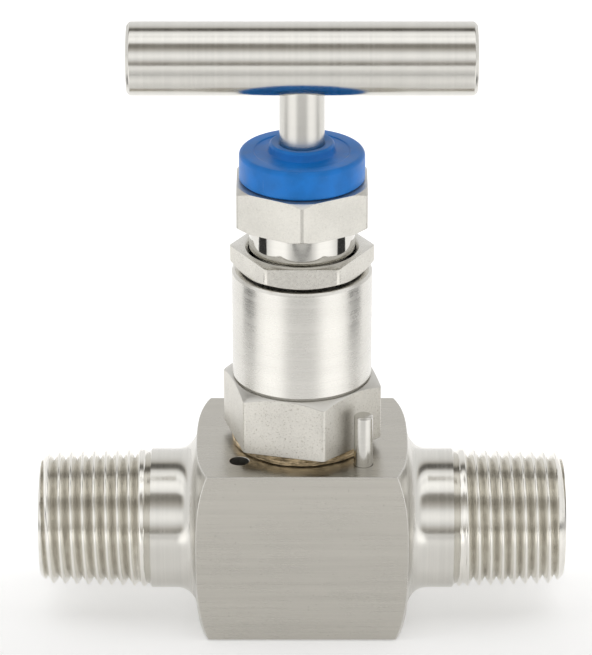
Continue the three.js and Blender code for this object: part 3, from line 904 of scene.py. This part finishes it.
def gland():
    """The gland: threaded shank, polished neck, hex, and the spigot inside the cap."""
    low, high = level("gland_adjuster")
    hex_low, hex_high = 65.4, 71.85
    face, corner, across = 10.4, 11.3, 19.8
    neck, bore = 8.1, 3.75
    nut_top = level("gland_lock_nut")[1]
    mesh = turned([
        (bore, low), (7.4, low), (8, low + 0.6), (8, nut_top - 0.2), (neck, nut_top),
        (neck, 64.9, 0.1), (neck - 0.2, 65.15), (neck - 0.2, hex_low), *hex_foot(hex_low, face, corner),
        *hex_head(hex_high, face, corner), (6, hex_high), (6, high, 0.2), (bore, high, 0.2),
    ], HEX_ROUND)
    hexed(mesh, face, across, corner, 0.07)
    turn(mesh, 30, "Z")

    def is_flat(centre, normal):
        return abs(normal.z) < 0.3 and hex_low < centre.z < hex_high and centre.xy.length > 9

    paint(mesh, 1, lambda centre, normal: centre.z > hex_low + 0.01)
    paint(mesh, 2, is_flat)
    paint(mesh, 1, lambda centre, normal: abs(centre.z - hex_low) < 0.8 and normal.z < -0.3)
    return mesh


class ValveGlandOperator(bpy.types.Operator):
    """Builds the gland with its hex and polished neck"""

    bl_idname = "valve.gland"
    bl_label = "Gland"

    def execute(self, context):
        colours = context.scene.valve_settings
        finishes = [
            turned_steel("polished neck", 0.08, lines=1.6, depth=0.0003),
            turned_steel("gland chamfer", 0.42, lines=2.2, depth=0.002),
            speckled_steel("gland hex", colours.gland_steel, 0.36, pit_share=0.16, depth=0.006),
        ]
        finish_piece(
            gland(), "gland_hex_and_neck", "gland", ["gland_adjuster"], finishes,
        )
        return {"FINISHED"}


def moulded_cap():
    """The dust cap: rounded rim, a low step round the collar and a lip that meets the stem."""
    low, top = level("dust_cap")
    outer = reach("dust_cap")
    crown, rounding = 76.4, 0.75
    rim = arc((outer - rounding, crown - rounding), rounding, 0, 90, 8)
    return turned([
        (6.3, low), (outer - 0.25, low), (outer, low + 0.25), *rim,
        (7.35, crown, 0.06), (7.2, crown - 0.14, 0.06), (5.5, crown - 0.14), (5.15, crown - 0.02),
        (4.98, crown + 0.35), (4.95, top - 0.32, 0.1), (4.65, top, 0.1), (3.8, top - 0.08),
        (3.46, top - 0.2), (3.46, top - 0.8), (3.72, top - 1), (3.72, 76.1), (5, 76.1),
        (5, 74.9), (6.3, 74.9),
    ])


def wiper_ring():
    """The rubber wiper in the cap's groove."""
    low, high = level("wiper_o_ring")
    section = (high - low) / 2
    middle = reach("wiper_o_ring") - section
    return turned(arc((middle, low + section), section, 0, 345, 23), 96)


class ValveCapOperator(bpy.types.Operator):
    """Builds the dust cap and the wiper ring in it"""

    bl_idname = "valve.cap"
    bl_label = "Dust cap"

    def execute(self, context):
        colours = context.scene.valve_settings
        blue = moulded_plastic("moulded cap", colours.cap)
        rubber = plain_polymer("wiper rubber", colours.rubber, 0.6, 0.02)
        finish_piece(moulded_cap(), "moulded_cap", "gland_cap", ["dust_cap"], [blue])
        finish_piece(
            wiper_ring(), "wiper_ring", "gland_cap", ["wiper_o_ring"], [rubber],
        )
        return {"FINISHED"}


# Stem, needle and handle

BAR_RADIUS = 5.575
BAR_HEIGHT = sum(level("t_bar_handle")) / 2
STEM_RADIUS = 3.425


def stem():
    """The spindle: swaged socket, thread cylinder, back seat and stem."""
    low, high = level("spindle")
    shoulder = 35.2
    return turned([
        (0, 29.8), (3.8, 29.8), (3.8, 25), (2.9, 25), (2.9, low), (4.2, low), (5, low + 0.8),
        (5, shoulder, 0.08), (STEM_RADIUS, shoulder + 1.5, 0.15), (STEM_RADIUS, high, 0.15),
        (0, high),
    ], 144)


class ValveStemOperator(bpy.types.Operator):
    """Builds the spindle and its stem"""

    bl_idname = "valve.stem"
    bl_label = "Stem"

    def execute(self, context):
        steel = turned_steel("brushed stem", 0.21, lines=2.6, depth=0.003, tone=0.9)
        finish_piece(stem(), "stem_and_spindle", "stem", ["spindle"], [steel])
        return {"FINISHED"}


def needle():
    """The needle: cone, waist and the head that the spindle holds."""
    low, high = level("needle_tip")
    slope = math.tan(math.radians(25))
    wide, waist, waist_low = 3, 2.55, 23.7
    blunt = 0.4
    return turned([
        (0, low), (blunt, low, 0.08), (wide, low + (wide - blunt) / slope, 0.1),
        (wide, waist_low - 0.4), (waist, waist_low), (waist, 25.3), (3.5, 25.3, 0.1),
        (3.5, high, 0.1), (0, high),
    ], 96)


def bearing_ball():
    """The ball that the spindle pushes on."""
    low, high = level("thrust_ball")
    mesh = bmesh.new()
    bmesh.ops.create_icosphere(mesh, subdivisions=4, radius=(high - low) / 2)
    return move(mesh, z=(low + high) / 2)


class ValveNeedleOperator(bpy.types.Operator):
    """Builds the needle and the ball above it"""

    bl_idname = "valve.needle"
    bl_label = "Needle"

    def execute(self, context):
        steel = turned_steel("hardened needle", 0.14)
        finish_piece(needle(), "needle_cone", "needle", ["needle_tip"], [steel])
        finish_piece(
            bearing_ball(), "bearing_ball", "needle", ["thrust_ball"], [steel],
        )
        return {"FINISHED"}


def t_bar():
    """The bar, with a blind hole for the stem and a screw hole from the back."""
    half = reach("t_bar_handle")
    chamfer = 0.5
    tip = BAR_RADIUS - chamfer
    mesh = turned([
        (0, -half), (tip, -half, 0.1), (BAR_RADIUS, chamfer - half, 0.1),
        (BAR_RADIUS, half - chamfer, 0.1), (tip, half, 0.1), (0, half),
    ])
    turn(mesh, 90, "Y")
    hole_top = level("spindle")[1] + 0.3 - BAR_HEIGHT
    stem_hole = turned([
        (0, -BAR_RADIUS - 1), (3.52, -BAR_RADIUS - 1), (3.52, hole_top), (0, hole_top),
    ], 96)
    mesh = cut(mesh, stem_hole)
    screw_hole = turned([(0, 0), (1.95, 0), (1.95, BAR_RADIUS + 1), (0, BAR_RADIUS + 1)], 64)
    mesh = cut(mesh, turn(screw_hole, -90, "X"))
    paint(mesh, 1, lambda centre, normal: abs(normal.x) > 0.5)
    return move(mesh, z=BAR_HEIGHT)


def set_screw():
    """The socket set screw that holds the bar, with its key socket to the back."""
    low, high = (corner.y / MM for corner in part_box("handle_grub_screw"))
    radius = 1.85
    mesh = turned([(0, low), (radius, low, 0.1), (radius, high, 0.15), (0, high)], 64)
    key = turned([(0, high - 0.8), (1, high - 0.8), (1, high + 1), (0, high + 1)], 6)
    mesh = cut(mesh, key)
    turn(mesh, -90, "X")
    return move(mesh, z=BAR_HEIGHT)


class ValveHandleOperator(bpy.types.Operator):
    """Builds the T-bar and its set screw"""

    bl_idname = "valve.handle"
    bl_label = "T-bar"

    def execute(self, context):
        finishes = [
            turned_steel("ground bar", 0.17, "bar", lines=2.4, depth=0.0016),
            turned_steel("faced bar end", 0.28, "bar", lines=2.0, depth=0.003),
        ]
        finish_piece(t_bar(), "t_bar", "stem", ["t_bar_handle"], finishes)
        dark = turned_steel("set screw", 0.35, lines=2.0, tone=0.6)
        finish_piece(
            set_screw(), "socket_set_screw", "stem", ["handle_grub_screw"], [dark],
        )
        return {"FINISHED"}


# Stage

# How bright the surroundings are, by degrees up from the horizon in front, over the top and down
# to the horizon behind.
SKY = (
    (0, 0.25), (5, 0.33), (12, 0.75), (20, 1.1), (27, 1.27), (35, 1.15), (46, 0.6), (56, 0.26),
    (66, 0.28), (70, 1.2), (83, 1.45), (93, 1.12), (99, 1.4), (107, 1.1), (111, 1.0), (114, 0.3),
    (117, 0.1), (126, 0.12), (130, 0.62), (138, 0.85), (150, 0.95), (180, 1.0),
)
SKY_TOP = 1.5
SIDE_LIGHT = 0.95
FLOOR_SIZE = 3.0

# How brightly the floor glows in front of the valve, by millimetres away from it.
FLOOR_GLOW = (
    (0, 0.25), (50, 0.25), (75, 0.35), (110, 0.27), (140, 0.12), (185, 0.05), (300, 0.25),
    (400, 0.45),
)
FLOOR_GLOW_BEHIND = 0.5
FAN_GLOW = 0.65

# Dark cards that the polished surfaces pick up, as painted shade in their reflections: middle, half
# width and half depth, in metres.
SHADE_CARDS = {
    "front_shade_card": ((0, -0.1505), 0.056, 0.0024),
    "left_shade_card": ((-0.15, 0.008), 0.035, 0.032),
    "right_shade_card": ((0.15, 0.008), 0.035, 0.032),
}
CAMERA_PLACE = (0, -0.5314, 0.28795)
CAMERA_PITCH = 24.39
CAMERA_LENS = 208.2
CAMERA_SHIFT = -0.0092


def make_sky(scene):
    """A studio tent of light and dark bands, with a plain pale backdrop to the eye."""
    world = bpy.data.worlds.new("studio tent")
    scene.world = world
    world.use_nodes = True
    tree = world.node_tree
    tree.nodes.clear()
    look = Wire(tree.nodes.new("ShaderNodeTexCoord").outputs["Generated"])
    x, y, z = look.axes()
    angle = look.math("ARCTAN2", z, y * -1) / math.pi
    stops = [(degrees / 180, bright / SKY_TOP) for degrees, bright in SKY]
    band = angle.node("ShaderNodeValToRGB", {"stops": stops}, {0: angle}) * SKY_TOP
    sideways = x.math("ABSOLUTE", x).between(0.55, 0.92)
    light = band * (1 - sideways) + sideways * SIDE_LIGHT
    warm = light.between(0.3, 1.0).tint((1.0, 0.95, 0.86, 1), (1, 1, 1, 1))
    seen = light.node("ShaderNodeBackground", None, {"Color": warm, "Strength": light})
    backdrop = light.node("ShaderNodeBackground", None, {"Strength": 1.0, "Color": (1, 1, 1, 1)})
    path = Wire(tree.nodes.new("ShaderNodeLightPath").outputs["Is Camera Ray"])
    mixed = path.node("ShaderNodeMixShader", None, {0: path, 1: seen, 2: backdrop})
    output = tree.nodes.new("ShaderNodeOutputWorld")
    tree.links.new(mixed.socket, output.inputs["Surface"])


def make_plate(name, half_width, half_depth, place, material):
    """A flat rectangle of the stage, in metres."""
    mesh = bmesh.new()
    bmesh.ops.create_grid(mesh, x_segments=1, y_segments=1, size=1)
    bmesh.ops.scale(mesh, vec=(half_width, half_depth, 1), verts=mesh.verts[:])
    data = bpy.data.meshes.new(name)
    mesh.to_mesh(data)
    mesh.free()
    data.materials.append(material)
    plate = bpy.data.objects.new(name, data)
    bpy.context.scene.collection.objects.link(plate)
    plate.location = place
    return plate


def make_floor():
    """A pale matt floor that glows evenly to the eye.

    Reflections see a darker strip in front of the valve, with a brighter fan on each side.
    """
    material, shader, place = new_finish("pale floor")
    x, y, z = place.axes()
    flat = place.vector(x, y)
    away = flat.node("ShaderNodeVectorMath", {"operation": "LENGTH"}, {0: flat}, output="Value")
    angle = x.math("ARCTAN2", x.math("ABSOLUTE", x), y * -1)
    fan = angle.between(math.radians(16), math.radians(40))
    fan = fan * (1 - angle.between(math.radians(55), math.radians(95)))
    fan = fan * away.between(60, 95) * (1 - away.between(260, 420))
    share = away / FLOOR_GLOW[-1][0]
    stops = [(distance / FLOOR_GLOW[-1][0], bright) for distance, bright in FLOOR_GLOW]
    front = share.node("ShaderNodeValToRGB", {"stops": stops}, {0: share})
    behind = y.between(-30, 40)
    seen = Wire(shader.id_data.nodes.new("ShaderNodeLightPath").outputs["Is Camera Ray"])
    ahead = front * (1 - seen) + seen * FLOOR_GLOW[0][1]
    glow = ahead * (1 - behind) + behind * FLOOR_GLOW_BEHIND + fan * (1 - seen) * FAN_GLOW
    shader.inputs["Base Color"].default_value = (0.8, 0.8, 0.8, 1)
    shader.inputs["Roughness"].default_value = 0.9
    shader.inputs["Specular IOR Level"].default_value = 0
    feed(shader, "Emission Color", place.vector(glow, glow, glow))
    shader.inputs["Emission Strength"].default_value = 1
    make_plate("floor", FLOOR_SIZE, FLOOR_SIZE, (0, 0, -0.0002), material)


def make_shade_cards():
    """Dark cards on the floor, out of the picture, that only reflections show: they paint shade into
    the steel's reflections.
    """
    material, shader, _ = new_finish("painted shade card")
    # Near black, so that the cards paint shade into reflections; they neither show to the eye nor cast
    # shadow.
    shader.inputs["Base Color"].default_value = (0.02, 0.02, 0.02, 1)
    shader.inputs["Roughness"].default_value = 1
    for name, (middle, half_width, half_depth) in SHADE_CARDS.items():
        card = make_plate(name, half_width, half_depth, (*middle, 0.001), material)
        card.visible_camera = False
        card.visible_diffuse = False
        card.visible_shadow = False


def make_camera(scene):
    """The camera, in front of the valve and looking down on it."""
    data = bpy.data.cameras.new("camera")
    data.lens = CAMERA_LENS
    data.shift_x = CAMERA_SHIFT
    data.clip_start = 0.01
    camera = bpy.data.objects.new("camera", data)
    camera.location = CAMERA_PLACE
    camera.rotation_euler = (math.radians(90 - CAMERA_PITCH), 0, 0)
    scene.collection.objects.link(camera)
    scene.camera = camera


class ValveStageOperator(bpy.types.Operator):
    """Builds the floor, the studio light and the camera"""

    bl_idname = "valve.stage"
    bl_label = "Stage"

    def execute(self, context):
        make_sky(context.scene)
        make_floor()
        make_shade_cards()
        make_camera(context.scene)
        context.scene.view_settings.view_transform = "Standard"
        return {"FINISHED"}


# Sidebar

def colour_property(name, description, default):
    """A colour a user may change."""
    return bpy.props.FloatVectorProperty(
        name=name, description=description, default=default, subtype="COLOR", size=3, min=0, max=1,
    )


class ValveSettings(bpy.types.PropertyGroup):
    """Sizes and colours of the valve's looks"""

    edge_break: bpy.props.FloatProperty(
        name="Edge break", description="How far the body's long edges are rounded off",
        default=0.12 * MM, min=0.05 * MM, max=0.3 * MM, unit="LENGTH", precision=5,
    )
    thread_depth: bpy.props.FloatProperty(
        name="Thread depth", description="Depth of the pipe threads from crest to root",
        default=1.45 * MM, min=0.5 * MM, max=1.6 * MM, unit="LENGTH", precision=5,
    )
    turned_steel: colour_property(
        "Turned steel", "Necks, barrel, stem and T-bar", (0.66, 0.645, 0.605),
    )
    bar_steel: colour_property("Bar steel", "Flat sides of the body", (0.51, 0.49, 0.445))
    hex_steel: colour_property("Hex steel", "Flats of the bonnet and lock nut", (0.66, 0.64, 0.59))
    gland_steel: colour_property("Gland steel", "Flats of the gland's hex", (0.6, 0.585, 0.54))
    cap: colour_property("Cap", "Dust cap", (0.008, 0.168, 0.548))
    copper: colour_property("Copper", "Sealing ring under the bonnet", (0.6, 0.48, 0.31))
    packing: colour_property("Packing", "Packing rings", (0.82, 0.82, 0.8))
    rubber: colour_property("Rubber", "Wiper ring", (0.02, 0.02, 0.02))


PIECE_OPERATORS = (
    ValveBodyOperator,
    ValveSealingRingOperator,
    ValveBonnetOperator,
    ValveDowelOperator,
    ValvePackingOperator,
    ValveJamNutOperator,
    ValveGlandOperator,
    ValveCapOperator,
    ValveStemOperator,
    ValveNeedleOperator,
    ValveHandleOperator,
    ValveStageOperator,
)


class VALVE_PT_pieces(bpy.types.Panel):
    """The valve's pieces and settings"""

    bl_label = "Needle valve"
    bl_idname = "VALVE_PT_pieces"
    bl_space_type = "VIEW_3D"
    bl_region_type = "UI"
    bl_category = "Valve"

    def draw(self, context):
        for operator in PIECE_OPERATORS:
            self.layout.operator(operator.bl_idname)
        for name in ValveSettings.__annotations__:
            self.layout.prop(context.scene.valve_settings, name)


CLASSES = (ValveSettings, *PIECE_OPERATORS, VALVE_PT_pieces)


def register():
    """Adds the settings, operators and panel."""
    for item in CLASSES:
        bpy.utils.register_class(item)
    bpy.types.Scene.valve_settings = bpy.props.PointerProperty(type=ValveSettings)


def unregister():
    """Takes them away again."""
    del bpy.types.Scene.valve_settings
    for item in reversed(CLASSES):
        bpy.utils.unregister_class(item)


def run(operator):
    """Calls one operator by its name."""
    group, name = operator.bl_idname.split(".")
    if getattr(getattr(bpy.ops, group), name)() != {"FINISHED"}:
        raise RuntimeError(f"{operator.bl_label} did not finish")


def main():
    """Builds every piece and the stage."""
    register()
    for operator in PIECE_OPERATORS:
        run(operator)


if __name__ == "__main__":
    main()
